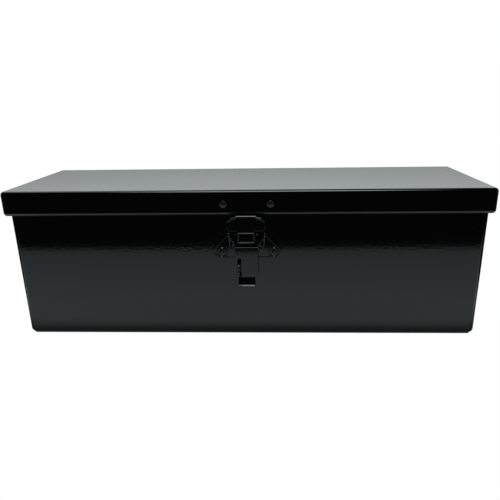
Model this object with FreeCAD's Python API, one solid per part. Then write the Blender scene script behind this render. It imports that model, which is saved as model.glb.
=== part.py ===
import FreeCAD, Part
import os

# Truck tool box: a folded sheet-steel box with an overlapping lid, a piano hinge along the back
# and a sprung snap hasp at the front. Millimetres, +Z up, +X to the right of someone facing the
# front, front face towards -Y. The origin is on the underside, at the centre of the body.

# ---------------------------------------------------------------- overall sizes
LID_LENGTH = 508.0          # 20 in nominal
LID_DEPTH = 152.4           # 6 in nominal
HEIGHT = 165.1              # 6.5 in nominal, underside to lid top
SHEET = 1.2                 # folded steel sheet
OVERHANG = 4.2              # lid's outer face stands this far outside the body's
FLANGE_HEIGHT = 26.1        # lid top to the flange's lower edge
LID_CORNER_R = 3.6
LID_TOP_R = 3.4
LIP_DEPTH = 2.2             # return lip at the flange's lower edge, measured inwards
LIP_R = 3.8
BODY_BOTTOM_R = 7.0
WRAP_HALF = 244.0           # the wrapped sheet ends here; the end panels' bent edges go on outside
END_LAP = 7.4               # end panel's flange inside the wrap
END_BEND_R = 5.6
RIM_R = 3.0                 # body wall bent inwards at the top into a stiffening rim
RIM_WIDTH = 12.0
LID_GAP = 0.3               # lid sheet above the rim

BODY_LENGTH = LID_LENGTH - 2 * OVERHANG
BODY_DEPTH = LID_DEPTH - 2 * OVERHANG
BODY_TOP = HEIGHT - SHEET - LID_GAP
FLANGE_BOTTOM = HEIGHT - FLANGE_HEIGHT
BODY_FRONT = -BODY_DEPTH / 2
BODY_BACK = BODY_DEPTH / 2
FLANGE_BACK = LID_DEPTH / 2

# Bolt holes in the floor, for fixing the box to a truck bed or a tractor's fender.
FLOOR_HOLE_R = 4.5
FLOOR_HOLE_SPACING_X = 380.0
FLOOR_HOLE_SPACING_Y = 80.0

# ---------------------------------------------------------------- piano hinge
PIN_R = 1.5
PIN_CLEARANCE = 0.05
KNUCKLE_R = 2.6
LEAF = 1.0
KNUCKLE_COUNT = 21
HINGE_LENGTH = 482.0
KNUCKLE_GAP = 0.4
HINGE_Y = FLANGE_BACK + KNUCKLE_R
HINGE_Z = FLANGE_BOTTOM - 0.7
LID_LEAF_TOP = HINGE_Z + 19.0
BODY_LEAF_BOTTOM = HINGE_Z - 24.0
HINGE_RIVET_COUNT = 8
HINGE_RIVET_SPAN = 448.0
HINGE_RIVET_R = 1.6
HINGE_RIVET_HEAD_R = 3.0
LID_RIVET_Z = HINGE_Z + 12.5
BODY_RIVET_Z = HINGE_Z - 17.0

# ---------------------------------------------------------------- hasp and latch
# Outward distances are measured from the body's front face, towards -Y.
LATCH_X = 0.7               # the lever's centre line
RIVET_SHIFT = 1.1           # both pairs of rivets sit this far right of it
HASP_SHEET = 1.4
HASP_BRACKET_SHEET = 1.0
HASP_BRACKET_HALF = 31.0
HASP_BRACKET_TOP = 158.5
HASP_BRACKET_BOTTOM = 143.7
HASP_TONGUE_HALF = 10.4
HASP_SHELF_TOP = 139.9
HASP_OUT = 9.6              # strap's outer face
HASP_HALF = 19.8
HASP_NECK_HALF = 9.3
HASP_WIDE_BOTTOM = 123.6
HOOD_DEPTH = 4.2
HASP_BOTTOM = 109.9
SHOULDER_R = 1.3            # rolled shoulders of the hood
WINDOW_HALF = 7.0
WINDOW_LOW = 112.3
WINDOW_HIGH = 120.2
FRAME_R = 0.5               # raised bead round the window
HASP_RIVET_X = 24.2
HASP_RIVET_Z = 150.8
HASP_RIVET_R = 2.4
HASP_RIVET_HEAD_R = 3.7
NOTCH_HALF = 13.2           # gap in the lid's return lip for the strap
NOTCH_TOP = FLANGE_BOTTOM + 2.5

BASE_SHEET = 1.2
BEAD_R = 1.1                # pressed beads on the wings
RIM_LINE = 2.2              # width of the raised line along the wings' edge
RIM_ROUND = 1.1
RIM_INNER_ROUND = 0.6
EAR_IN = 10.6
EAR_OUT = 12.2
EAR_TOP = 121.3
EAR_REACH = 8.9
EAR_LOW_REACH = 8.0         # round the pivot, where the lever's web passes in front
BASE_RIVET_X = 27.6
BASE_RIVET_Z = 98.0
BASE_RIVET_R = 2.4
BASE_RIVET_HEAD_R = 3.3
BASE_RIVET_TIP_R = 1.6      # button in the middle of the flat head
BOSS_R = 4.9                # raised ring round each rivet

PIVOT_OUT = 6.0
PIVOT_Z = 103.4
LEVER_PIN_R = 1.5
LEVER_CURL_R = 3.6
LEVER_SHEET = 1.2
LEVER_CURL_HALF = 10.3
LEVER_HALF = 12.0
FINGER_HALF = 8.95
LEVER_TOP = 106.3
LEVER_FLAT_BOTTOM = 73.2
HOOK_RISE = 9.2             # pivot to the hook's underside
HOOK_HALF = 6.8
SLOT_X = -7.6               # left of the latch's centre line
SLOT_WIDTH = 4.2
SLOT_LOW = 73.0
SLOT_HIGH = 94.6

SPRING_SHEET = 0.5
SPRING_RIVET_R = 1.1
SPRING_RIVET_Z = 95.0

STAPLE_X = -7.9             # left of the latch's centre line
STAPLE_SHEET = 1.8
STAPLE_LOW = 75.6
STAPLE_HIGH = 89.6
STAPLE_OUT = 18.0
STAPLE_HOLE_R = 2.75
STAPLE_HOLE_OUT = 12.4
STAPLE_HOLE_Z = 82.7
STAPLE_WAIST_Z = 83.2       # shallow dip in the staple's outer edge
STAPLE_WAIST_R = 4.2
STAPLE_FOOT_HALF = 8.0


# ---------------------------------------------------------------- helpers
def vec(x, y, z):
    return FreeCAD.Vector(x, y, z)


def box(x0, x1, y0, y1, z0, z1):
    return Part.makeBox(x1 - x0, y1 - y0, z1 - z0, vec(x0, y0, z0))


def cylinder_x(radius, x0, x1, y, z):
    return Part.makeCylinder(radius, x1 - x0, vec(x0, y, z), vec(1, 0, 0))


def cylinder_y(radius, y0, y1, x, z):
    return Part.makeCylinder(radius, y1 - y0, vec(x, y0, z), vec(0, 1, 0))


def rounded_block(length, depth, z0, z1, radius):
    """Upright block centred on the origin, with rounded vertical corners."""
    block = box(-length / 2, length / 2, -depth / 2, depth / 2, z0, z1)
    upright = [e for e in block.Edges if is_vertical(e)]
    return block.makeFillet(radius, upright)


def is_vertical(edge):
    low = edge.BoundBox
    return low.ZLength > 1e-6 and low.XLength < 1e-6 and low.YLength < 1e-6


def edges_at(shape, z):
    """Edges that lie wholly at one height."""
    level = []
    for e in shape.Edges:
        b = e.BoundBox
        if abs(b.ZMin - z) < 1e-4 and abs(b.ZMax - z) < 1e-4:
            level.append(e)
    return level


def front(points, out0, out1, x=LATCH_X):
    """Outline in (x from the latch's centre, z), from out0 to out1 outside the body's front."""
    wire = Part.makePolygon([vec(x + px, BODY_FRONT - out0, pz) for px, pz in points + points[:1]])
    return Part.Face(wire).extrude(vec(0, out0 - out1, 0))


def across(points, half, x=LATCH_X):
    """Profile in (outwards, z), extruded to both sides of x."""
    wire = Part.makePolygon([vec(x - half, BODY_FRONT - o, z) for o, z in points + points[:1]])
    return Part.Face(wire).extrude(vec(2 * half, 0, 0))


def mirrored(points):
    """Outline given for the right-hand side, completed with its mirror image."""
    return points + [(-px, pz) for px, pz in reversed(points)]


def is_along_y(edge):
    b = edge.BoundBox
    return b.YLength > 1e-6 and b.XLength < 1e-6 and b.ZLength < 1e-6


def round_corners(shape, radius, corners=None):
    """Round a plate's corners; corners are (x from the latch's centre, z), or None for all."""
    edges = []
    for e in shape.Edges:
        b = e.BoundBox
        at = (abs(b.XMin - LATCH_X), b.ZMin)
        if is_along_y(e) and (corners is None or near_any(at, corners)):
            edges.append(e)
    return shape.makeFillet(radius, edges)


def near_any(at, corners):
    return any(abs(at[0] - cx) < 0.01 and abs(at[1] - cz) < 0.01 for cx, cz in corners)


def bead(points, radius, out):
    """Round bead through points (x from the latch's centre, z), half sunk in the plane out."""
    knots = [vec(LATCH_X + px, BODY_FRONT - out, pz) for px, pz in points]
    solid = Part.makeSphere(radius, knots[0])
    for a, b in zip(knots, knots[1:]):
        run = b.sub(a)
        solid = solid.fuse(Part.makeCylinder(radius, run.Length, a, run))
        solid = solid.fuse(Part.makeSphere(radius, b))
    return solid


def smooth_strip(outer, inner, half):
    """Curved sheet along X: smooth curves through two rows of (outwards, z) points."""
    edges = []
    for row in (outer, inner):
        curve = Part.BSplineCurve()
        curve.interpolate([vec(LATCH_X - half, BODY_FRONT - o, z) for o, z in row])
        edges.append(curve.toShape())
    for end in (0, -1):
        a, b = [vec(LATCH_X - half, BODY_FRONT - o, z) for o, z in (outer[end], inner[end])]
        edges.append(Part.makeLine(a, b))
    wire = Part.Wire(Part.__sortEdges__(edges))
    return Part.Face(wire).extrude(vec(2 * half, 0, 0))


def dome(radius, height, x, y, z, direction):
    """Domed rivet head standing on the plane y, towards direction (+1 or -1 along Y)."""
    sphere_r = (radius ** 2 + height ** 2) / (2 * height)
    centre_y = y + direction * (height - sphere_r)
    ball = Part.makeSphere(sphere_r, vec(x, centre_y, z))
    reach = 2 * sphere_r
    if direction > 0:
        keep = box(x - reach, x + reach, y, y + reach, z - reach, z + reach)
    else:
        keep = box(x - reach, x + reach, y - reach, y, z - reach, z + reach)
    return ball.common(keep)


def rivet(x, z, y_head, y_tail, shank_r, head_r, head_height, tail_r=0.0, tail_height=0.0):
    """Rivet along Y with a domed head at y_head and, if asked, a flatter one at y_tail."""
    outward = -1.0 if y_head < y_tail else 1.0
    low, high = min(y_head, y_tail), max(y_head, y_tail)
    solid = cylinder_y(shank_r, low, high, x, z)
    solid = solid.fuse(dome(head_r, head_height, x, y_head, z, outward))
    if tail_r > 0.0:
        solid = solid.fuse(dome(tail_r, tail_height, x, y_tail, z, -outward))
    return solid.removeSplitter()


def ring_y(outer, inner, y0, y1, x, z):
    return cylinder_y(outer, y0, y1, x, z).cut(cylinder_y(inner, y0 - 1, y1 + 1, x, z))


def base_rivet_x(side):
    return LATCH_X + RIVET_SHIFT + side * BASE_RIVET_X


def hasp_rivet_x(side):
    return LATCH_X + RIVET_SHIFT + side * HASP_RIVET_X


def hinge_rivet_xs():
    step = HINGE_RIVET_SPAN / (HINGE_RIVET_COUNT - 1)
    return [-HINGE_RIVET_SPAN / 2 + i * step for i in range(HINGE_RIVET_COUNT)]


# ---------------------------------------------------------------- body
def long_edges(shape, y, z):
    """Edges that run along X at the given height and at +y or -y."""
    found = []
    for e in shape.Edges:
        b = e.BoundBox
        if b.XLength > 1.0 and b.YLength < 1e-4 and b.ZLength < 1e-4:
            if abs(abs(b.YMin) - y) < 1e-4 and abs(b.ZMin - z) < 1e-4:
                found.append(e)
    return found


def trough(x0, x1, half_depth, z0, z1, bottom_r, top_r):
    """Block along X with its two bottom and two top long edges rounded."""
    block = box(x0, x1, -half_depth, half_depth, z0, z1)
    block = block.makeFillet(bottom_r, long_edges(block, half_depth, z0))
    return block.makeFillet(top_r, long_edges(block, half_depth, z1))


def make_body_wrap():
    """Front, floor and back folded from one sheet, with an inward rim along both top edges."""
    half = BODY_DEPTH / 2
    outer = trough(-WRAP_HALF, WRAP_HALF, half, 0.0, BODY_TOP, BODY_BOTTOM_R, RIM_R)
    inner = trough(
        -WRAP_HALF - 5.0,
        WRAP_HALF + 5.0,
        half - SHEET,
        SHEET,
        BODY_TOP - SHEET,
        BODY_BOTTOM_R - SHEET,
        RIM_R - SHEET,
    )
    open_half = half - RIM_WIDTH
    mouth = box(-BODY_LENGTH, BODY_LENGTH, -open_half, open_half, BODY_TOP - 3.0, BODY_TOP + 5.0)
    wrap = outer.cut(inner).cut(mouth)
    for sx in (-1, 1):
        for sy in (-1, 1):
            centre = vec(sx * FLOOR_HOLE_SPACING_X / 2, sy * FLOOR_HOLE_SPACING_Y / 2, -1.0)
            wrap = wrap.cut(Part.makeCylinder(FLOOR_HOLE_R, SHEET + 2.0, centre))
    for side in (-1, 1):
        x = base_rivet_x(side)
        hole = cylinder_y(BASE_RIVET_R, BODY_FRONT - 1, BODY_FRONT + SHEET + 1, x, BASE_RIVET_Z)
        wrap = wrap.cut(hole)
    for x in hinge_rivet_xs():
        hole = cylinder_y(HINGE_RIVET_R, BODY_BACK - SHEET - 1, BODY_BACK + 1, x, BODY_RIVET_Z)
        wrap = wrap.cut(hole)
    return wrap


def bend_end(block, x, radius):
    """Round the edges of a block's end face at x."""
    rim = [e for e in block.Edges if abs(e.BoundBox.XMin - x) < 1e-4]
    return block.makeFillet(radius, rim)


def make_end_panel(side):
    """Shallow pan that closes one end: its flanges lie inside the wrap, its bent edge stays outside."""
    half = BODY_DEPTH / 2 - SHEET
    top = BODY_TOP - SHEET
    end = BODY_LENGTH / 2
    inside = WRAP_HALF - END_LAP
    outer = trough(inside, end, half, SHEET, top, BODY_BOTTOM_R - SHEET, RIM_R - SHEET)
    outer = bend_end(outer, end, END_BEND_R)
    inner = trough(
        inside - 5.0,
        end - SHEET,
        half - SHEET,
        2 * SHEET,
        top - SHEET,
        BODY_BOTTOM_R - 2 * SHEET,
        0.6,
    )
    inner = bend_end(inner, end - SHEET, END_BEND_R - SHEET)
    pan = outer.cut(inner)
    if side < 0:
        pan = pan.mirror(vec(0, 0, 0), vec(1, 0, 0))
    return pan


# ---------------------------------------------------------------- lid
def make_lid_shell():
    outer = rounded_block(LID_LENGTH, LID_DEPTH, FLANGE_BOTTOM, HEIGHT, LID_CORNER_R)
    outer = outer.makeFillet(LID_TOP_R, edges_at(outer, HEIGHT))
    outer = outer.makeFillet(LIP_R, edges_at(outer, FLANGE_BOTTOM))
    hollow = rounded_block(
        LID_LENGTH - 2 * SHEET,
        LID_DEPTH - 2 * SHEET,
        FLANGE_BOTTOM + SHEET,
        HEIGHT - SHEET,
        LID_CORNER_R - SHEET,
    )
    hollow = hollow.makeFillet(LIP_R - SHEET, edges_at(hollow, FLANGE_BOTTOM + SHEET))
    hollow = hollow.makeFillet(LID_TOP_R - SHEET, edges_at(hollow, HEIGHT - SHEET))
    mouth = rounded_block(
        LID_LENGTH - 2 * LIP_DEPTH,
        LID_DEPTH - 2 * LIP_DEPTH,
        FLANGE_BOTTOM - 1.0,
        FLANGE_BOTTOM + 4.0,
        LID_CORNER_R - 1.0,
    )
    shell = outer.cut(hollow).cut(mouth)
    notch = box(
        LATCH_X - NOTCH_HALF,
        LATCH_X + NOTCH_HALF,
        BODY_FRONT - OVERHANG - 1.0,
        BODY_FRONT - 0.5,
        FLANGE_BOTTOM - 1.0,
        NOTCH_TOP,
    )
    # Behind the flange's face the lip's inner curve is cleared as well.
    relief = box(
        LATCH_X - NOTCH_HALF,
        LATCH_X + NOTCH_HALF,
        BODY_FRONT - OVERHANG + SHEET,
        BODY_FRONT - 0.5,
        FLANGE_BOTTOM - 1.0,
        FLANGE_BOTTOM + LIP_R + 0.3,
    )
    shell = shell.cut(notch).cut(relief)
    for side in (-1, 1):
        x = hasp_rivet_x(side)
        hole = cylinder_y(HASP_RIVET_R, BODY_FRONT - OVERHANG - 1, BODY_FRONT, x, HASP_RIVET_Z)
        shell = shell.cut(hole)
    for x in hinge_rivet_xs():
        shell = shell.cut(cylinder_y(HINGE_RIVET_R, BODY_BACK, FLANGE_BACK + 1, x, LID_RIVET_Z))
    return shell


# ---------------------------------------------------------------- piano hinge
def knuckles(first):
    """Every other knuckle of the barrel, starting with index first, as (x0, x1) spans."""
    pitch = HINGE_LENGTH / KNUCKLE_COUNT
    spans = []
    for i in range(first, KNUCKLE_COUNT, 2):
        x0 = -HINGE_LENGTH / 2 + i * pitch
        spans.append((x0 + KNUCKLE_GAP / 2, x0 + pitch - KNUCKLE_GAP / 2))
    return spans


def leaf_with_barrels(plate, spans):
    """Add the leaf's own knuckles to its plate, then bore them for the pin."""
    own = None
    for x0, x1 in spans:
        barrel = cylinder_x(KNUCKLE_R, x0, x1, HINGE_Y, HINGE_Z)
        own = barrel if own is None else own.fuse(barrel)
    solid = plate.fuse(own)
    bore = cylinder_x(PIN_R + PIN_CLEARANCE, -HINGE_LENGTH, HINGE_LENGTH, HINGE_Y, HINGE_Z)
    return solid.cut(bore).removeSplitter()


def leaf_strip(profile, spans, z_split, above):
    """Full-length leaf beyond z_split, and only tabs at its own knuckles next to the barrel."""
    half = HINGE_LENGTH / 2
    wire = Part.makePolygon([vec(-half, y, z) for y, z in profile + profile[:1]])
    full = Part.Face(wire).extrude(vec(HINGE_LENGTH, 0, 0))
    far = 200.0
    if above:
        kept = full.common(box(-far * 2, far * 2, 0, far, z_split, z_split + far))
        near = full.common(box(-far * 2, far * 2, 0, far, z_split - far, z_split))
    else:
        kept = full.common(box(-far * 2, far * 2, 0, far, z_split - far, z_split))
        near = full.common(box(-far * 2, far * 2, 0, far, z_split, z_split + far))
    for x0, x1 in spans:
        kept = kept.fuse(near.common(box(x0, x1, 0, far, 0, far)))
    return kept


def make_hinge_lid_leaf():
    inner = HINGE_Y - KNUCKLE_R
    profile = [
        (inner, HINGE_Z),
        (inner + LEAF, HINGE_Z),
        (inner + LEAF, LID_LEAF_TOP),
        (inner, LID_LEAF_TOP),
    ]
    spans = knuckles(1)
    plate = leaf_strip(profile, spans, HINGE_Z + KNUCKLE_R + 0.4, True)
    leaf = leaf_with_barrels(plate, spans)
    for x in hinge_rivet_xs():
        leaf = leaf.cut(cylinder_y(HINGE_RIVET_R, inner - 1, inner + LEAF + 1, x, LID_RIVET_Z))
    return leaf


def make_hinge_body_leaf():
    inner = HINGE_Y - KNUCKLE_R
    step_top = HINGE_Z - 4.2
    step_low = HINGE_Z - 9.4
    profile = [
        (inner, HINGE_Z),
        (inner, step_top),
        (BODY_BACK, step_low),
        (BODY_BACK, BODY_LEAF_BOTTOM),
        (BODY_BACK + LEAF, BODY_LEAF_BOTTOM),
        (BODY_BACK + LEAF, step_low - 0.4),
        (inner + LEAF, step_top - 0.4),
        (inner + LEAF, HINGE_Z),
    ]
    spans = knuckles(0)
    plate = leaf_strip(profile, spans, HINGE_Z - KNUCKLE_R - 0.4, False)
    leaf = leaf_with_barrels(plate, spans)
    for x in hinge_rivet_xs():
        leaf = leaf.cut(cylinder_y(HINGE_RIVET_R, BODY_BACK - 1, BODY_BACK + LEAF + 1, x, BODY_RIVET_Z))
    return leaf


def make_hinge_pin():
    """Wire rod, its two ends upset a little so that it can't slide out."""
    half = HINGE_LENGTH / 2
    rod = cylinder_x(PIN_R, -half - 0.6, half + 0.6, HINGE_Y, HINGE_Z)
    for side in (-1, 1):
        x0 = side * (half + 0.6)
        cone = Part.makeCone(PIN_R + 0.7, PIN_R - 0.1, 1.2, vec(x0, HINGE_Y, HINGE_Z), vec(side, 0, 0))
        rod = rod.fuse(cone)
    return rod.removeSplitter()


def rivet_row(z, y_head, y_tail):
    row = []
    for x in hinge_rivet_xs():
        row.append(rivet(x, z, y_head, y_tail, HINGE_RIVET_R, HINGE_RIVET_HEAD_R, 1.3, 2.6, 0.7))
    return Part.makeCompound(row)


def make_hinge_body_rivets():
    return rivet_row(BODY_RIVET_Z, BODY_BACK + LEAF, BODY_BACK - SHEET)


def make_hinge_lid_rivets():
    return rivet_row(LID_RIVET_Z, FLANGE_BACK + LEAF, FLANGE_BACK - SHEET)


# ---------------------------------------------------------------- hasp strap on the lid
def make_hasp_strap():
    """Bracket inside the flange, tongue through the lip's notch, shelf, then the windowed plate."""
    flange_inner = OVERHANG - SHEET
    bracket = front(
        mirrored([(HASP_BRACKET_HALF, HASP_BRACKET_BOTTOM), (HASP_BRACKET_HALF, HASP_BRACKET_TOP)]),
        flange_inner - HASP_BRACKET_SHEET,
        flange_inner,
    )
    bracket = round_corners(bracket, 5.0)
    t = HASP_SHEET
    low = HASP_SHELF_TOP - t
    tongue_profile = [
        (flange_inner - HASP_BRACKET_SHEET, HASP_BRACKET_BOTTOM + 1.0),
        (flange_inner - HASP_BRACKET_SHEET, low + 0.8),
        (flange_inner - HASP_BRACKET_SHEET + 0.8, low),
        (HASP_OUT - t, low),
        (HASP_OUT - t, low - 2.0),
        (HASP_OUT, low - 2.0),
        (HASP_OUT, HASP_SHELF_TOP),
        (flange_inner + 0.3, HASP_SHELF_TOP),
        (flange_inner, HASP_SHELF_TOP + 0.3),
        (flange_inner, HASP_BRACKET_BOTTOM + 1.0),
    ]
    tongue = across(tongue_profile, HASP_TONGUE_HALF)
    tongue = tongue.makeFillet(2.0, long_edges(tongue, HASP_OUT - BODY_FRONT, HASP_SHELF_TOP))
    # The wide part is a shallow pressed hood with a rounded edge, open at the back.
    shoulder = low - 0.2
    waist = HASP_WIDE_BOTTOM
    side = [
        (HASP_HALF, waist),
        (HASP_HALF, shoulder - 6.5),
        (HASP_HALF - 2.0, shoulder - 2.6),
        (11.0, shoulder),
    ]
    hood = front(mirrored(side), HASP_OUT - HOOD_DEPTH, HASP_OUT)
    hood = round_corners(hood, 4.2, side[:1])
    hood = round_corners(hood, 3.0, side[1:3])
    face = [e for e in hood.Edges if e.BoundBox.YMax < BODY_FRONT - HASP_OUT + 1e-3]
    hood = hood.makeFillet(0.35, face)
    # The shoulders are rolled over.
    for end in (-1, 1):
        shoulder_line = [(end * 10.8, low - 1.1), (end * 15.6, low - 2.0), (end * 17.9, low - 4.0)]
        hood = hood.fuse(bead(shoulder_line, SHOULDER_R, HASP_OUT - 0.9))
    inside = [
        (HASP_HALF - t, waist + t),
        (HASP_HALF - t, shoulder - 6.7),
        (HASP_HALF - t - 1.7, shoulder - 3.7),
        (10.8, shoulder - t),
    ]
    hollow = front(mirrored(inside), 0.0, HASP_OUT - t)
    hood = hood.cut(round_corners(hollow, 2.8, inside[:1]))
    neck_outline = mirrored([(HASP_NECK_HALF, HASP_BOTTOM), (HASP_NECK_HALF, waist + 3.0)])
    neck = front(neck_outline, HASP_OUT - t, HASP_OUT)
    neck = round_corners(neck, 0.8, [(HASP_NECK_HALF, HASP_BOTTOM)])
    window_outline = mirrored([(WINDOW_HALF, WINDOW_LOW), (WINDOW_HALF, WINDOW_HIGH)])
    window = front(window_outline, HASP_OUT - 6.0, HASP_OUT + 2.0)
    # A raised bead frames the window.
    wide, low_z, high_z = WINDOW_HALF + 1.1, WINDOW_LOW - 1.1, WINDOW_HIGH + 1.1
    loop = mirrored([(wide, low_z), (wide, high_z)])
    frame = bead(loop + loop[:1], FRAME_R, HASP_OUT)
    frame = frame.common(front(mirrored([(40.0, 90.0), (40.0, 130.0)]), HASP_OUT - 0.3, HASP_OUT + 2.0))
    strap = bracket.fuse(tongue).fuse(hood).fuse(neck).fuse(frame).cut(window)
    for end in (-1, 1):
        hole = cylinder_y(HASP_RIVET_R, BODY_FRONT - 6, BODY_FRONT + 1, hasp_rivet_x(end), HASP_RIVET_Z)
        strap = strap.cut(hole)
    return strap.removeSplitter()


def make_hasp_rivet(side):
    """Domed outside, set flush with the bracket inside."""
    return rivet(
        hasp_rivet_x(side),
        HASP_RIVET_Z,
        BODY_FRONT - OVERHANG,
        BODY_FRONT - OVERHANG + SHEET + HASP_BRACKET_SHEET,
        HASP_RIVET_R,
        HASP_RIVET_HEAD_R,
        1.05,
    )


# ---------------------------------------------------------------- latch base
WING_CORNERS = [(30.3, 91.3), (37.6, 97.0), (36.6, 102.2), (19.8, 119.4), (17.6, 119.4)]
RIDGE = [(18.2, 117.2), (17.6, 107.0), (16.6, 102.0), (EAR_OUT, 100.4)]


def wing_plate(thickness):
    """Both wings as one flat plate with rounded corners."""
    plate = front(mirrored(WING_CORNERS + [(EAR_OUT, 108.0)]), 0.0, thickness)
    plate = round_corners(plate, 8.0, WING_CORNERS[:1])
    plate = round_corners(plate, 5.5, WING_CORNERS[1:2])
    plate = round_corners(plate, 5.0, WING_CORNERS[2:3])
    return round_corners(plate, 0.9, WING_CORNERS[3:])


def make_wings():
    """Wings with a round-edged raised rim; the lever covers the middle, so it stops at the ears."""
    plate = wing_plate(BASE_SHEET + BEAD_R)
    front_y = BODY_FRONT - BASE_SHEET - BEAD_R
    face = [f for f in plate.Faces if f.BoundBox.YMax < front_y + 1e-6][0]
    outside = [e for e in face.Edges if is_wing_edge(e)]
    loop = face.OuterWire.makeOffset2D(-RIM_LINE)
    field = Part.Face(loop).extrude(vec(0, BEAD_R, 0))
    wings = plate.makeFillet(RIM_ROUND, outside).cut(field)
    wings = wings.makeFillet(RIM_INNER_ROUND, [e for e in wings.Edges if lies_on(e, loop)])
    middle = front(mirrored([(EAR_OUT - 0.4, 80.0), (EAR_OUT - 0.4, 125.0)]), BASE_SHEET, 5.0)
    return wings.cut(middle)


def lies_on(edge, wire):
    middle = edge.valueAt((edge.FirstParameter + edge.LastParameter) / 2)
    return wire.distToShape(Part.Vertex(middle))[0] < 1e-4


def is_wing_edge(edge):
    """True for the plate's bottom and outer sides, up to the wing's tip."""
    b = edge.BoundBox
    return b.ZMax < 96.0 or max(abs(b.XMin - LATCH_X), abs(b.XMax - LATCH_X)) > 20.5


def make_latch_base():
    base = make_wings()
    for side in (-1, 1):
        x = base_rivet_x(side)
        ring = Part.makeTorus(BOSS_R, BEAD_R, vec(x, BODY_FRONT - BASE_SHEET, BASE_RIVET_Z), vec(0, 1, 0))
        # A bead runs down from the wing's tip, then in to the ear's foot.
        ridge = bead([(side * px, pz) for px, pz in RIDGE], BEAD_R, BASE_SHEET)
        base = base.fuse(ring).fuse(ridge)
    ear_profile = [
        (0.0, 95.2),
        (4.2, 96.4),
        (EAR_LOW_REACH, PIVOT_Z - 2.4),
        (EAR_LOW_REACH, PIVOT_Z + 0.8),
        (EAR_LOW_REACH - 1.0, PIVOT_Z + 1.8),
        (EAR_LOW_REACH - 1.0, PIVOT_Z + 5.2),
        (EAR_REACH, PIVOT_Z + 6.4),
        (EAR_REACH, EAR_TOP - 1.6),
        (EAR_REACH - 1.6, EAR_TOP),
        (0.0, EAR_TOP),
    ]
    for side in (-1, 1):
        middle = LATCH_X + side * (EAR_IN + EAR_OUT) / 2
        base = base.fuse(across(ear_profile, (EAR_OUT - EAR_IN) / 2, middle))
    # A strip joins the two ears' feet behind the strap.
    base = base.fuse(front(mirrored([(EAR_OUT, 95.2), (EAR_OUT, EAR_TOP)]), 0.0, BASE_SHEET))
    for side in (-1, 1):
        hole = cylinder_y(BASE_RIVET_R, BODY_FRONT - 6, BODY_FRONT + 1, base_rivet_x(side), BASE_RIVET_Z)
        base = base.cut(hole)
    base = base.cut(cylinder_y(SPRING_RIVET_R, BODY_FRONT - 3, BODY_FRONT + 1, LATCH_X, SPRING_RIVET_Z))
    pin_hole = cylinder_x(LEVER_PIN_R, LATCH_X - 20, LATCH_X + 20, BODY_FRONT - PIVOT_OUT, PIVOT_Z)
    return base.cut(pin_hole).removeSplitter()


def make_base_rivet(side):
    """Flat head with a small domed button in its middle."""
    x = base_rivet_x(side)
    y = BODY_FRONT - BASE_SHEET
    tail = BODY_FRONT + SHEET + 0.8
    shank = rivet(x, BASE_RIVET_Z, y - 0.4, tail, BASE_RIVET_R, BASE_RIVET_TIP_R, 1.0, 3.6, 1.0)
    head = cylinder_y(BASE_RIVET_HEAD_R, y - 0.4, y, x, BASE_RIVET_Z)
    return shank.fuse(head).removeSplitter()


def make_base_rivet_washers():
    rings = []
    for side in (-1, 1):
        y = BODY_FRONT + SHEET
        rings.append(ring_y(6.0, BASE_RIVET_R, y, y + 0.8, base_rivet_x(side), BASE_RIVET_Z))
    return Part.makeCompound(rings)


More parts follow.
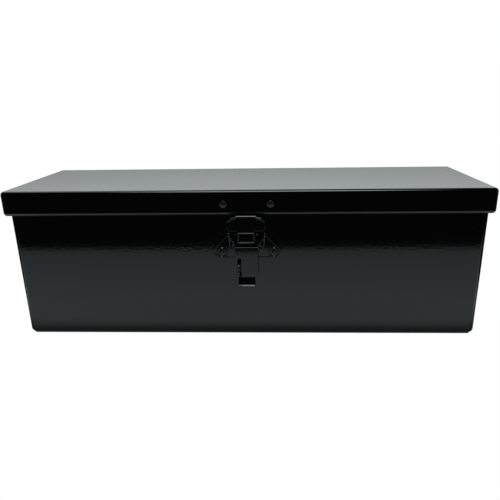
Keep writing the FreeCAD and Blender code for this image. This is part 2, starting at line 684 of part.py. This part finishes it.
# ---------------------------------------------------------------- lever
def make_latch_lever():
    """Sheet lever: curl round the pin, hook above it, slotted flat web, narrower finger curl."""
    web_out = PIVOT_OUT + LEVER_CURL_R
    web_in = web_out - LEVER_SHEET
    web = front(mirrored([(LEVER_HALF, LEVER_FLAT_BOTTOM), (LEVER_HALF, LEVER_TOP)]), web_in, web_out)
    web = web.makeFillet(0.55, long_edges(web, web_out - BODY_FRONT, LEVER_TOP))
    y = BODY_FRONT - PIVOT_OUT
    curl = cylinder_x(LEVER_CURL_R, LATCH_X - LEVER_CURL_HALF, LATCH_X + LEVER_CURL_HALF, y, PIVOT_Z)
    under = PIVOT_Z + HOOK_RISE
    hook_profile = [
        (PIVOT_OUT - 0.2, PIVOT_Z + 2.4),
        (PIVOT_OUT - 0.2, under + 4.4),
        (PIVOT_OUT + 0.3, under + 4.9),
        (PIVOT_OUT + 1.1, under + 4.9),
        (PIVOT_OUT + 3.5, under + 0.9),
        (PIVOT_OUT + 3.5, under),
        (PIVOT_OUT + 1.3, under),
        (PIVOT_OUT + 1.0, under - 0.3),
        (PIVOT_OUT + 1.0, PIVOT_Z + 2.4),
    ]
    hook = across(hook_profile, HOOK_HALF)
    # The finger curl: narrower than the web, it leans outwards and ends in a rolled lip.
    z = LEVER_FLAT_BOTTOM
    curl_outer = [
        (web_out, z + 1.6),
        (web_out, z + 0.4),
        (web_out + 0.5, z - 1.6),
        (web_out + 1.9, z - 5.2),
        (web_out + 3.2, z - 7.9),
        (web_out + 4.3, z - 8.6),
    ]
    curl_inner = [
        (web_in, z + 1.6),
        (web_in, z + 0.3),
        (web_in + 0.6, z - 2.0),
        (web_in + 2.0, z - 5.7),
        (web_in + 3.5, z - 8.7),
        (web_in + 5.3, z - 9.7),
    ]
    finger = smooth_strip(curl_outer, curl_inner, FINGER_HALF)
    trim = [
        (FINGER_HALF, z + 9.0),
        (FINGER_HALF, z - 7.3),
        (FINGER_HALF - 1.4, z - 8.8),
        (FINGER_HALF - 2.6, z - 12.0),
    ]
    finger = finger.common(front(mirrored(trim), 0.0, 30.0))
    solid = web.fuse(curl).fuse(hook).fuse(finger)
    # Side edges of the web are folded back a little to stiffen it.
    for side in (-1, 1):
        fold = front(
            [
                (side * LEVER_HALF, 76.0),
                (side * (LEVER_HALF - 1.2), 76.0),
                (side * (LEVER_HALF - 1.2), 93.5),
                (side * LEVER_HALF, 93.5),
            ],
            web_in - 1.8,
            web_in,
        )
        solid = solid.fuse(fold)
    bore = cylinder_x(LEVER_PIN_R + PIN_CLEARANCE, LATCH_X - 20, LATCH_X + 20, y, PIVOT_Z)
    slot_r = SLOT_WIDTH / 2
    slot_x = LATCH_X + SLOT_X
    y0 = BODY_FRONT - web_out - 1.0
    y1 = BODY_FRONT - web_in + 4.0
    low = SLOT_LOW + slot_r
    high = SLOT_HIGH - slot_r
    slot = box(slot_x - slot_r, slot_x + slot_r, y0, y1, low, high)
    slot = slot.fuse(cylinder_y(slot_r, y0, y1, slot_x, low)).fuse(cylinder_y(slot_r, y0, y1, slot_x, high))
    return solid.cut(bore).cut(slot).removeSplitter()


def make_lever_pin():
    y = BODY_FRONT - PIVOT_OUT
    half = EAR_OUT
    pin = cylinder_x(LEVER_PIN_R, LATCH_X - half, LATCH_X + half, y, PIVOT_Z)
    for side in (-1, 1):
        head = Part.makeCone(2.5, 1.9, 0.9, vec(LATCH_X + side * half, y, PIVOT_Z), vec(side, 0, 0))
        pin = pin.fuse(head)
    return pin.removeSplitter()


def make_lever_spring():
    """Leaf spring: foot flat on the base, passes behind the curl, bows out against the hook."""
    t = SPRING_SHEET
    foot = BASE_SHEET
    reach = PIVOT_OUT - 0.2
    profile = [
        (foot, 91.5),
        (foot, PIVOT_Z + 2.0),
        (foot + 1.6, PIVOT_Z + 5.2),
        (reach - 0.15 - t, PIVOT_Z + 7.6),
        (reach - 0.15 - t, PIVOT_Z + 8.4),
        (foot + 1.4, PIVOT_Z + 11.4),
        (foot + 1.4 + t, PIVOT_Z + 11.6),
        (reach - 0.15, PIVOT_Z + 8.7),
        (reach - 0.15, PIVOT_Z + 7.4),
        (foot + 1.6 + t, PIVOT_Z + 4.8),
        (foot + t, PIVOT_Z + 1.7),
        (foot + t, 91.5),
    ]
    spring = across(profile, 4.0)
    return spring.cut(cylinder_y(SPRING_RIVET_R, BODY_FRONT - 3, BODY_FRONT, LATCH_X, SPRING_RIVET_Z))


def make_spring_rivet():
    """Small rivet that holds the spring's foot to the base."""
    y = BODY_FRONT - BASE_SHEET - SPRING_SHEET
    return rivet(LATCH_X, SPRING_RIVET_Z, y, BODY_FRONT, SPRING_RIVET_R, 2.2, 0.8)


def make_padlock_staple():
    """Bent tab: its foot is spot-welded to the body, its eye stands out through the lever's slot."""
    x = LATCH_X + STAPLE_X
    half = STAPLE_SHEET / 2
    tip = BODY_FRONT - STAPLE_OUT
    tab = box(x - half, x + half, tip, BODY_FRONT, STAPLE_LOW, STAPLE_HIGH)
    corners = [e for e in tab.Edges if e.BoundBox.XLength > 1.0 and abs(e.BoundBox.YMax - tip) < 1e-3]
    tab = tab.makeFillet(3.0, corners)
    tab = tab.cut(cylinder_x(STAPLE_WAIST_R, x - 5, x + 5, tip - 2.6, STAPLE_WAIST_Z))
    foot = box(x - half, x + 2 * STAPLE_FOOT_HALF, BODY_FRONT - 1.2, BODY_FRONT, STAPLE_LOW, STAPLE_HIGH)
    eye = cylinder_x(STAPLE_HOLE_R, x - 5, x + 5, BODY_FRONT - STAPLE_HOLE_OUT, STAPLE_HOLE_Z)
    return tab.fuse(foot).cut(eye).removeSplitter()


# ---------------------------------------------------------------- export
def main():
    os.makedirs("parts", exist_ok=True)
    nodes = {
        "body_wrap": make_body_wrap(),
        "end_panel_left": make_end_panel(-1),
        "end_panel_right": make_end_panel(1),
        "lid_shell": make_lid_shell(),
        "hinge_body_leaf": make_hinge_body_leaf(),
        "hinge_lid_leaf": make_hinge_lid_leaf(),
        "hinge_pin": make_hinge_pin(),
        "hinge_body_rivets": make_hinge_body_rivets(),
        "hinge_lid_rivets": make_hinge_lid_rivets(),
        "hasp_strap": make_hasp_strap(),
        "hasp_rivet_left": make_hasp_rivet(-1),
        "hasp_rivet_right": make_hasp_rivet(1),
        "latch_base": make_latch_base(),
        "base_rivet_left": make_base_rivet(-1),
        "base_rivet_right": make_base_rivet(1),
        "base_rivet_washers": make_base_rivet_washers(),
        "latch_lever": make_latch_lever(),
        "lever_pin": make_lever_pin(),
        "lever_spring": make_lever_spring(),
        "spring_rivet": make_spring_rivet(),
        "padlock_staple": make_padlock_staple(),
    }
    for name, shape in nodes.items():
        if not shape.isValid():
            raise RuntimeError(name + " is not a valid shape")
        print(name, len(shape.Solids), round(shape.Volume, 1))
        shape.exportStep(os.path.join("parts", name + ".step"))


main()
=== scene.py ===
import math

import bpy
from mathutils import Matrix, Vector


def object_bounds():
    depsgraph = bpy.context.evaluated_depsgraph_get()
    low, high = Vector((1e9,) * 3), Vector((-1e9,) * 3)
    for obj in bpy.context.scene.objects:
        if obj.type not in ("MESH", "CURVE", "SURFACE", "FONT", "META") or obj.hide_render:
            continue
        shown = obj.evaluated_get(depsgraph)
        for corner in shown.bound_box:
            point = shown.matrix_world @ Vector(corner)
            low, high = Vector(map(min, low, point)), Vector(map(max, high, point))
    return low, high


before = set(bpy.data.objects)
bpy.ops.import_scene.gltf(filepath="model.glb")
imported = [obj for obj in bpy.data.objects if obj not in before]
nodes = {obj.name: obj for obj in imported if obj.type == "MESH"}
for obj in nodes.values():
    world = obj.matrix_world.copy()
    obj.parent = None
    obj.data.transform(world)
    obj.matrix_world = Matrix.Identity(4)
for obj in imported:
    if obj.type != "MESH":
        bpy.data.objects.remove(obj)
cad_low, cad_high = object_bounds()

MM = 0.001
WHITE = (1.0, 1.0, 1.0, 1.0)

# ---------------------------------------------------------------- camera
CAMERA_AT = (33.7, -553.7, 258.0)       # mm, in the frame's axes
CAMERA_PITCH = math.radians(18.111)     # down from the horizon
CAMERA_YAW = math.radians(-2.248)       # from +Y towards +X
CAMERA_ROLL = math.radians(-0.902)      # positive leans the camera's top to its left
SENSOR_WIDTH = 36.0                     # mm
LENS = 34.488                           # mm
SHIFT_X = -0.02056                      # share of the sensor's width
CLIP_NEAR = 0.01                        # m
CLIP_FAR = 20.0                         # m


def camera_axes():
    """The camera's own right, up and backward directions."""
    pitch, yaw, roll = CAMERA_PITCH, CAMERA_YAW, CAMERA_ROLL
    level = math.cos(pitch)
    forward = Vector((math.sin(yaw) * level, math.cos(yaw) * level, -math.sin(pitch)))
    right = Vector((math.cos(yaw), -math.sin(yaw), 0.0))
    up = right.cross(forward)
    right_rolled = math.cos(roll) * right + math.sin(roll) * up
    up_rolled = math.cos(roll) * up - math.sin(roll) * right
    return right_rolled, up_rolled, -forward


def add_camera():
    data = bpy.data.cameras.new("camera")
    data.sensor_width = SENSOR_WIDTH
    data.lens = LENS
    data.shift_x = SHIFT_X
    data.clip_start = CLIP_NEAR
    data.clip_end = CLIP_FAR
    camera = bpy.data.objects.new("camera", data)
    bpy.context.scene.collection.objects.link(camera)
    turn = Matrix(camera_axes()).transposed().to_4x4()
    camera.matrix_world = Matrix.Translation(Vector(CAMERA_AT) * MM) @ turn
    bpy.context.scene.camera = camera


# ---------------------------------------------------------------- shader nodes
class Nodes:
    """Adds and links shader nodes in one tree. A ramp is (start, end, value at start, value at end)."""

    def __init__(self, tree):
        self.tree = tree
        tree.nodes.clear()

    def add(self, kind, inputs=None, **settings):
        node = self.tree.nodes.new(kind)
        for key, value in settings.items():
            setattr(node, key, value)
        for key, value in (inputs or {}).items():
            self.put(node.inputs[key], value)
        return node

    def put(self, socket, value):
        if isinstance(value, bpy.types.NodeSocket):
            self.tree.links.new(value, socket)
        else:
            socket.default_value = value

    def math(self, operation, a, b=0.0):
        return self.add("ShaderNodeMath", {0: a, 1: b}, operation=operation).outputs[0]

    def remap(self, value, ramp, kind="SMOOTHSTEP"):
        inputs = dict(zip(("From Min", "From Max", "To Min", "To Max"), ramp))
        inputs["Value"] = value
        return self.add("ShaderNodeMapRange", inputs, interpolation_type=kind).outputs["Result"]

    def mix(self, factor, a, b):
        node = self.add("ShaderNodeMix", {"Factor": factor, "A": a, "B": b}, data_type="RGBA")
        return node.outputs["Result"]

    def noise(self, place, size_mm, detail):
        """Noise with patches of about the given size."""
        inputs = {"Vector": place, "Scale": 1.0 / (size_mm * MM), "Detail": detail}
        return self.add("ShaderNodeTexNoise", inputs).outputs["Fac"]

    def bump(self, height, height_mm, strength=1.0, under=None):
        """The normal of a height map, on top of another normal where one is given."""
        inputs = {"Strength": strength, "Distance": height_mm * MM, "Height": height}
        if under is not None:
            inputs["Normal"] = under
        return self.add("ShaderNodeBump", inputs).outputs["Normal"]

    def split_by_ray(self, seen, mirrored):
        """Reflections get the second shader, and everything else the first."""
        path = self.add("ShaderNodeLightPath")
        return self.add("ShaderNodeMixShader", {"Fac": path.outputs["Is Glossy Ray"],
                                                1: seen.outputs[0], 2: mirrored.outputs[0]})

    def end(self, shader, kind="ShaderNodeOutputMaterial"):
        self.add(kind, {"Surface": shader.outputs[0]})


# ---------------------------------------------------------------- materials
NOISE_RANGE = (0.3, 0.7)                # most values of a noise lie in here
PEEL_FINER = 2.6                        # the fine orange peel is this many times finer
PEEL_SHARES = (0.75, 0.25)              # of the coarse and the fine peel in the height
CLOUD_MM = 60.0                         # slow changes of tone and haze
CLOUD_SPREAD = (0.85, 1.15)             # least and most, times the roughness
WAVE_MM = 75.0                          # waves of the sheet itself
SPECK_MM = 0.9                          # dust specks
SPECK_RAMP = (0.80, 0.86, 0.0, 0.4)
SPECK_SHARE = 0.03                      # of the dust's colour in a speck
SPECK_HAZE = 0.2                        # roughness that a speck adds
DUST = (0.5, 0.5, 0.48, 1.0)
PAINT_DARK = (1.0, 1.05, 1.12)          # times the paint's tone
PAINT_PALE = (1.7, 1.8, 1.9)            # times the paint's tone
PAINT_IOR = 1.5
LINE_MM = 0.4                           # fine lines of drawn metal
LINE_HEIGHT = 0.02                      # mm
LINE_STRENGTH = 0.6
BLOTCH_MM = 4.0
BLOTCH_DARK = 0.72                      # times the metal's tone
BLOTCH_SPREAD = (0.8, 1.25)             # least and most, times the roughness


def new_material(name):
    """A material, the helper of its empty tree, and the piece's own coordinates."""
    material = bpy.data.materials.new(name)
    material.use_nodes = True
    n = Nodes(material.node_tree)
    return material, n, n.add("ShaderNodeTexCoord").outputs["Object"]


def shaded(amount, colour):
    return tuple(amount * part for part in colour) + (1.0,)


def uneven(n, noise, roughness, spread):
    """A roughness that drifts with a noise."""
    least, most = spread
    return n.remap(noise, NOISE_RANGE + (roughness * least, roughness * most), "LINEAR")


def gloss_coat(name, roughness, peel, peel_mm, tone=0.0004, wave=0.0):
    """Black powder coat: orange peel in two sizes, slight haze and dust. peel and wave are heights in mm."""
    material, n, place = new_material(name)
    coarse = n.noise(place, peel_mm, detail=1.5)
    fine = n.noise(place, peel_mm / PEEL_FINER, detail=1.0)
    cloud = n.noise(place, CLOUD_MM, detail=3.0)
    coarse_share, fine_share = PEEL_SHARES
    height = n.math("ADD", n.math("MULTIPLY", coarse, coarse_share), n.math("MULTIPLY", fine, fine_share))
    normal = n.bump(height, peel)
    if wave > 0.0:
        sway = n.noise(place, WAVE_MM, detail=0.5)
        normal = n.bump(sway, wave, under=normal)
    speck = n.remap(n.noise(place, SPECK_MM, detail=0.0), SPECK_RAMP)
    base = n.mix(cloud, shaded(tone, PAINT_DARK), shaded(tone, PAINT_PALE))
    base = n.mix(n.math("MULTIPLY", speck, SPECK_SHARE), base, DUST)
    haze = n.math("MULTIPLY", speck, SPECK_HAZE)
    rough = n.math("ADD", uneven(n, cloud, roughness, CLOUD_SPREAD), haze)
    n.end(n.add("ShaderNodeBsdfPrincipled", {"Base Color": base, "Roughness": rough, "IOR": PAINT_IOR,
                                             "Normal": normal}))
    return material


def bare_metal(name, tone, roughness, drawn=(1.0, 1.0, 1.0)):
    """Plated or drawn steel with fine lines and a blotchy sheen."""
    material, n, place = new_material(name)
    stretch = n.add("ShaderNodeMapping", {"Vector": place, "Scale": drawn}).outputs["Vector"]
    lines = n.noise(stretch, LINE_MM, detail=3.0)
    blotch = n.noise(place, BLOTCH_MM, detail=3.0)
    base = n.mix(blotch, shaded(BLOTCH_DARK, tone), shaded(1.0, tone))
    n.end(n.add("ShaderNodeBsdfPrincipled", {"Base Color": base, "Metallic": 1.0,
                                             "Roughness": uneven(n, blotch, roughness, BLOTCH_SPREAD),
                                             "Normal": n.bump(lines, LINE_HEIGHT, LINE_STRENGTH)}))
    return material


# ---------------------------------------------------------------- pieces
WELD_GAP = 0.004                        # mm
FLAT_ANGLE = math.radians(0.6)
BEVEL_ANGLE = math.radians(28.0)
BEVEL_SEGMENTS = 3
AREA_WEIGHT = 100                       # the most: the largest face rules a corner's normal


def dress(name, material, bevel=0.0, even=0.0):
    """Give a CAD node its finish, soft edges (mm) and smooth shading, without touching its mesh."""
    piece = nodes[name]
    piece.data.materials.clear()
    piece.data.materials.append(material)
    for polygon in piece.data.polygons:
        polygon.use_smooth = True
    weld = piece.modifiers.new("weld", "WELD")
    weld.merge_threshold = WELD_GAP * MM
    # Coplanar triangles become whole faces, so that flat sheet shades flat.
    flat = piece.modifiers.new("flat_faces", "DECIMATE")
    flat.decimate_type = "DISSOLVE"
    flat.angle_limit = FLAT_ANGLE
    if bevel > 0.0:
        soft = piece.modifiers.new("soft_edges", "BEVEL")
        soft.width = bevel * MM
        soft.segments = BEVEL_SEGMENTS
        soft.limit_method = "ANGLE"
        soft.angle_limit = BEVEL_ANGLE
        soft.use_clamp_overlap = False
    if even > 0.0:
        # Flat faces keep their own normal; areas closer than this many mm2 count as alike.
        normals = piece.modifiers.new("normals", "WEIGHTED_NORMAL")
        normals.weight = AREA_WEIGHT
        normals.thresh = even * MM * MM


def dress_all():
    box_paint = gloss_coat("box_gloss_black", roughness=0.07, peel=0.055, peel_mm=3.0, wave=0.05)
    lid_paint = gloss_coat("lid_gloss_black", roughness=0.08, peel=0.035, peel_mm=3.0, wave=0.05)
    latch_paint = gloss_coat("latch_gloss_black", tone=0.0005, roughness=0.07, peel=0.012, peel_mm=1.4)
    base_paint = gloss_coat("base_gloss_black", tone=0.0005, roughness=0.07, peel=0.012, peel_mm=1.4)
    rivet_paint = gloss_coat("rivet_gloss_black", tone=0.0005, roughness=0.20, peel=0.01, peel_mm=1.0)
    hasp_rivet_paint = gloss_coat("hasp_rivet_black", tone=0.0008, roughness=0.38, peel=0.01, peel_mm=1.0)
    zinc = bare_metal("zinc_plate", tone=(0.60, 0.60, 0.57), roughness=0.34)
    wire = bare_metal("hinge_wire", tone=(0.55, 0.55, 0.54), roughness=0.24, drawn=(0.05, 1.0, 1.0))
    spring_steel = bare_metal("spring_steel", tone=(0.42, 0.43, 0.45), roughness=0.26,
                              drawn=(1.0, 1.0, 0.08))

    for name in ("body_wrap", "end_panel_left", "end_panel_right"):
        dress(name, box_paint, bevel=0.05, even=1.0)
    dress("lid_shell", lid_paint, bevel=0.05, even=1.0)
    for name in ("hinge_body_leaf", "hinge_lid_leaf"):
        dress(name, latch_paint, bevel=0.12, even=0.1)
    for name in ("hinge_body_rivets", "hinge_lid_rivets", "base_rivet_left", "base_rivet_right", "lever_pin"):
        dress(name, rivet_paint, bevel=0.08)
    for name in ("hasp_rivet_left", "hasp_rivet_right"):
        dress(name, hasp_rivet_paint, bevel=0.08)
    dress("hasp_strap", latch_paint, bevel=0.1, even=0.02)
    dress("latch_base", base_paint, even=0.02)
    dress("latch_lever", latch_paint, bevel=0.05, even=0.02)
    dress("padlock_staple", latch_paint, bevel=0.4, even=0.02)
    dress("hinge_pin", wire)
    dress("base_rivet_washers", zinc, bevel=0.1)
    dress("spring_rivet", zinc)
    dress("lever_spring", spring_steel)


# ---------------------------------------------------------------- floor
FLOOR_FRONT = -0.385                    # m; the floor ends here, in front of the box
FLOOR_BACK = 2.2                        # m
FLOOR_HALF = 1.3                        # m
FLOOR_DROP = 0.0003                     # m, keeps it clear of the box's underside
PAPER_TINT = (0.87, 1.0, 1.04, 1.0)
# Reflections see the floor as paper with painted light: brighter towards the box, and a painted shadow at the
# box's foot.
# The ramps' places are in metres.
PAPER_LIGHT_RAMP = (FLOOR_FRONT, -0.16, 0.51, 0.72)
FOOT_SHADOW_RAMP = (-0.115, -0.080, 1.0, 0.25)
# By the ends of the box there is a narrow strip of painted light, and beyond it the floor falls into a
# painted dark.
BOX_END = cad_high[0]
END_SLOPE = 0.589                       # the strip leans outward, towards the front
LIT_STRIP_RAMP = (BOX_END - 0.039, BOX_END - 0.009, 1.0, 1.7)
DARK_RAMP = (BOX_END + 0.056, BOX_END + 0.106, 1.0, 0.03)


def floor_material():
    material, n, place = new_material("floor_white")
    seen = n.add("ShaderNodeEmission", {"Color": WHITE, "Strength": 1.0})
    spot = n.add("ShaderNodeSeparateXYZ", {"Vector": place})
    x, y = spot.outputs["X"], spot.outputs["Y"]
    # Painted light: the reflected paper brightens towards the box.
    tone = n.remap(y, PAPER_LIGHT_RAMP, "LINEAR")
    # Painted shadow at the box's foot, seen only in reflections.
    foot_shadow = n.remap(y, FOOT_SHADOW_RAMP)
    # Painted light by the box's ends: a lit strip, then a painted dark beyond.
    past = n.math("ADD", n.math("ABSOLUTE", x), n.math("MULTIPLY", y, END_SLOPE))
    end_light_and_dark = n.math("MULTIPLY", n.remap(past, LIT_STRIP_RAMP), n.remap(past, DARK_RAMP))
    strength = n.math("MULTIPLY", tone, n.math("MULTIPLY", foot_shadow, end_light_and_dark))
    # The painted light and shade set how bright reflections see the paper.
    painted_paper = n.add("ShaderNodeEmission", {"Color": PAPER_TINT, "Strength": strength})
    n.end(n.split_by_ray(seen, painted_paper))
    return material


def add_floor():
    mesh = bpy.data.meshes.new("floor")
    corners = [(-FLOOR_HALF, FLOOR_FRONT, 0.0), (FLOOR_HALF, FLOOR_FRONT, 0.0),
               (FLOOR_HALF, FLOOR_BACK, 0.0), (-FLOOR_HALF, FLOOR_BACK, 0.0)]
    mesh.from_pydata(corners, [], [(0, 1, 2, 3)])
    mesh.materials.append(floor_material())
    floor = bpy.data.objects.new("floor", mesh)
    floor.location.z = -FLOOR_DROP
    bpy.context.scene.collection.objects.link(floor)


# ---------------------------------------------------------------- studio
# The ramps run over x, y or z of a direction of length one: y points behind the box, z points up.
BEHIND_RAMP = (0.0, 0.35, 0.0, 1.0)
WALL_RISE = (0.130, 0.200, 0.50, 1.13)  # the wall behind is paler higher up
WALL_TOP = (0.215, 0.27, 1.0, 0.01)     # and ends 12 to 16 degrees above the horizon
SIDE_RAMP = (0.80, 0.97, 0.0, 1.0)
SIDE_TOP = (0.25, 0.50, 1.0, 0.0)
SIDE_STRENGTH = 0.7
LAMP_WAY = (-0.34, 0.94)                # y and z of the lamp's direction: high, a little in front
LAMP_RAMP = (0.93, 0.985, 0.0, 1.0)
LAMP_STRENGTH = 6.5
ROOM_STRENGTH = 0.012
STUDIO_TINT = (0.94, 1.0, 1.015, 1.0)

KEY_AT = (-0.7, 0.5, 1.5)               # m
KEY_AIM = (0.0, 0.0, 0.1)               # m
KEY_SIZE = 1.2                          # m
KEY_POWER = 6.0                         # W


def add_world():
    """White all round. Reflections see a wall behind, low walls at the sides, a lamp and a dark room."""
    world = bpy.data.worlds.new("studio")
    bpy.context.scene.world = world
    world.use_nodes = True
    n = Nodes(world.node_tree)
    way = n.add("ShaderNodeSeparateXYZ", {"Vector": n.add("ShaderNodeTexCoord").outputs["Generated"]})
    x, y, z = way.outputs["X"], way.outputs["Y"], way.outputs["Z"]
    wall = n.math("MULTIPLY", n.remap(z, WALL_RISE, "LINEAR"), n.remap(z, WALL_TOP))
    back = n.math("MULTIPLY", n.remap(y, BEHIND_RAMP), wall)
    low_side = n.math("MULTIPLY", n.remap(n.math("ABSOLUTE", x), SIDE_RAMP), n.remap(z, SIDE_TOP))
    side = n.math("MULTIPLY", low_side, SIDE_STRENGTH)
    lamp_y, lamp_z = LAMP_WAY
    toward = n.math("ADD", n.math("MULTIPLY", y, lamp_y), n.math("MULTIPLY", z, lamp_z))
    lamp = n.math("MULTIPLY", n.remap(toward, LAMP_RAMP), LAMP_STRENGTH)
    walls = n.math("MAXIMUM", back, side)
    room = n.math("MAXIMUM", walls, n.math("MAXIMUM", lamp, ROOM_STRENGTH))
    plain = n.add("ShaderNodeBackground", {"Color": WHITE, "Strength": 1.0})
    glossy = n.add("ShaderNodeBackground", {"Color": STUDIO_TINT, "Strength": room})
    n.end(n.split_by_ray(plain, glossy), "ShaderNodeOutputWorld")


def add_key_light():
    data = bpy.data.lights.new("key", "AREA")
    data.shape = "RECTANGLE"
    data.size = KEY_SIZE
    data.size_y = KEY_SIZE
    data.energy = KEY_POWER
    key = bpy.data.objects.new("key", data)
    key.location = KEY_AT
    key.rotation_euler = (Vector(KEY_AIM) - Vector(KEY_AT)).to_track_quat("-Z", "Y").to_euler()
    bpy.context.scene.collection.objects.link(key)


def set_look():
    view = bpy.context.scene.view_settings
    view.view_transform = "Standard"
    view.look = "None"
    view.exposure = 0.0
    view.gamma = 1.0


# ---------------------------------------------------------------- build
dress_all()
add_floor()
add_world()
add_camera()
set_look()
add_key_light()
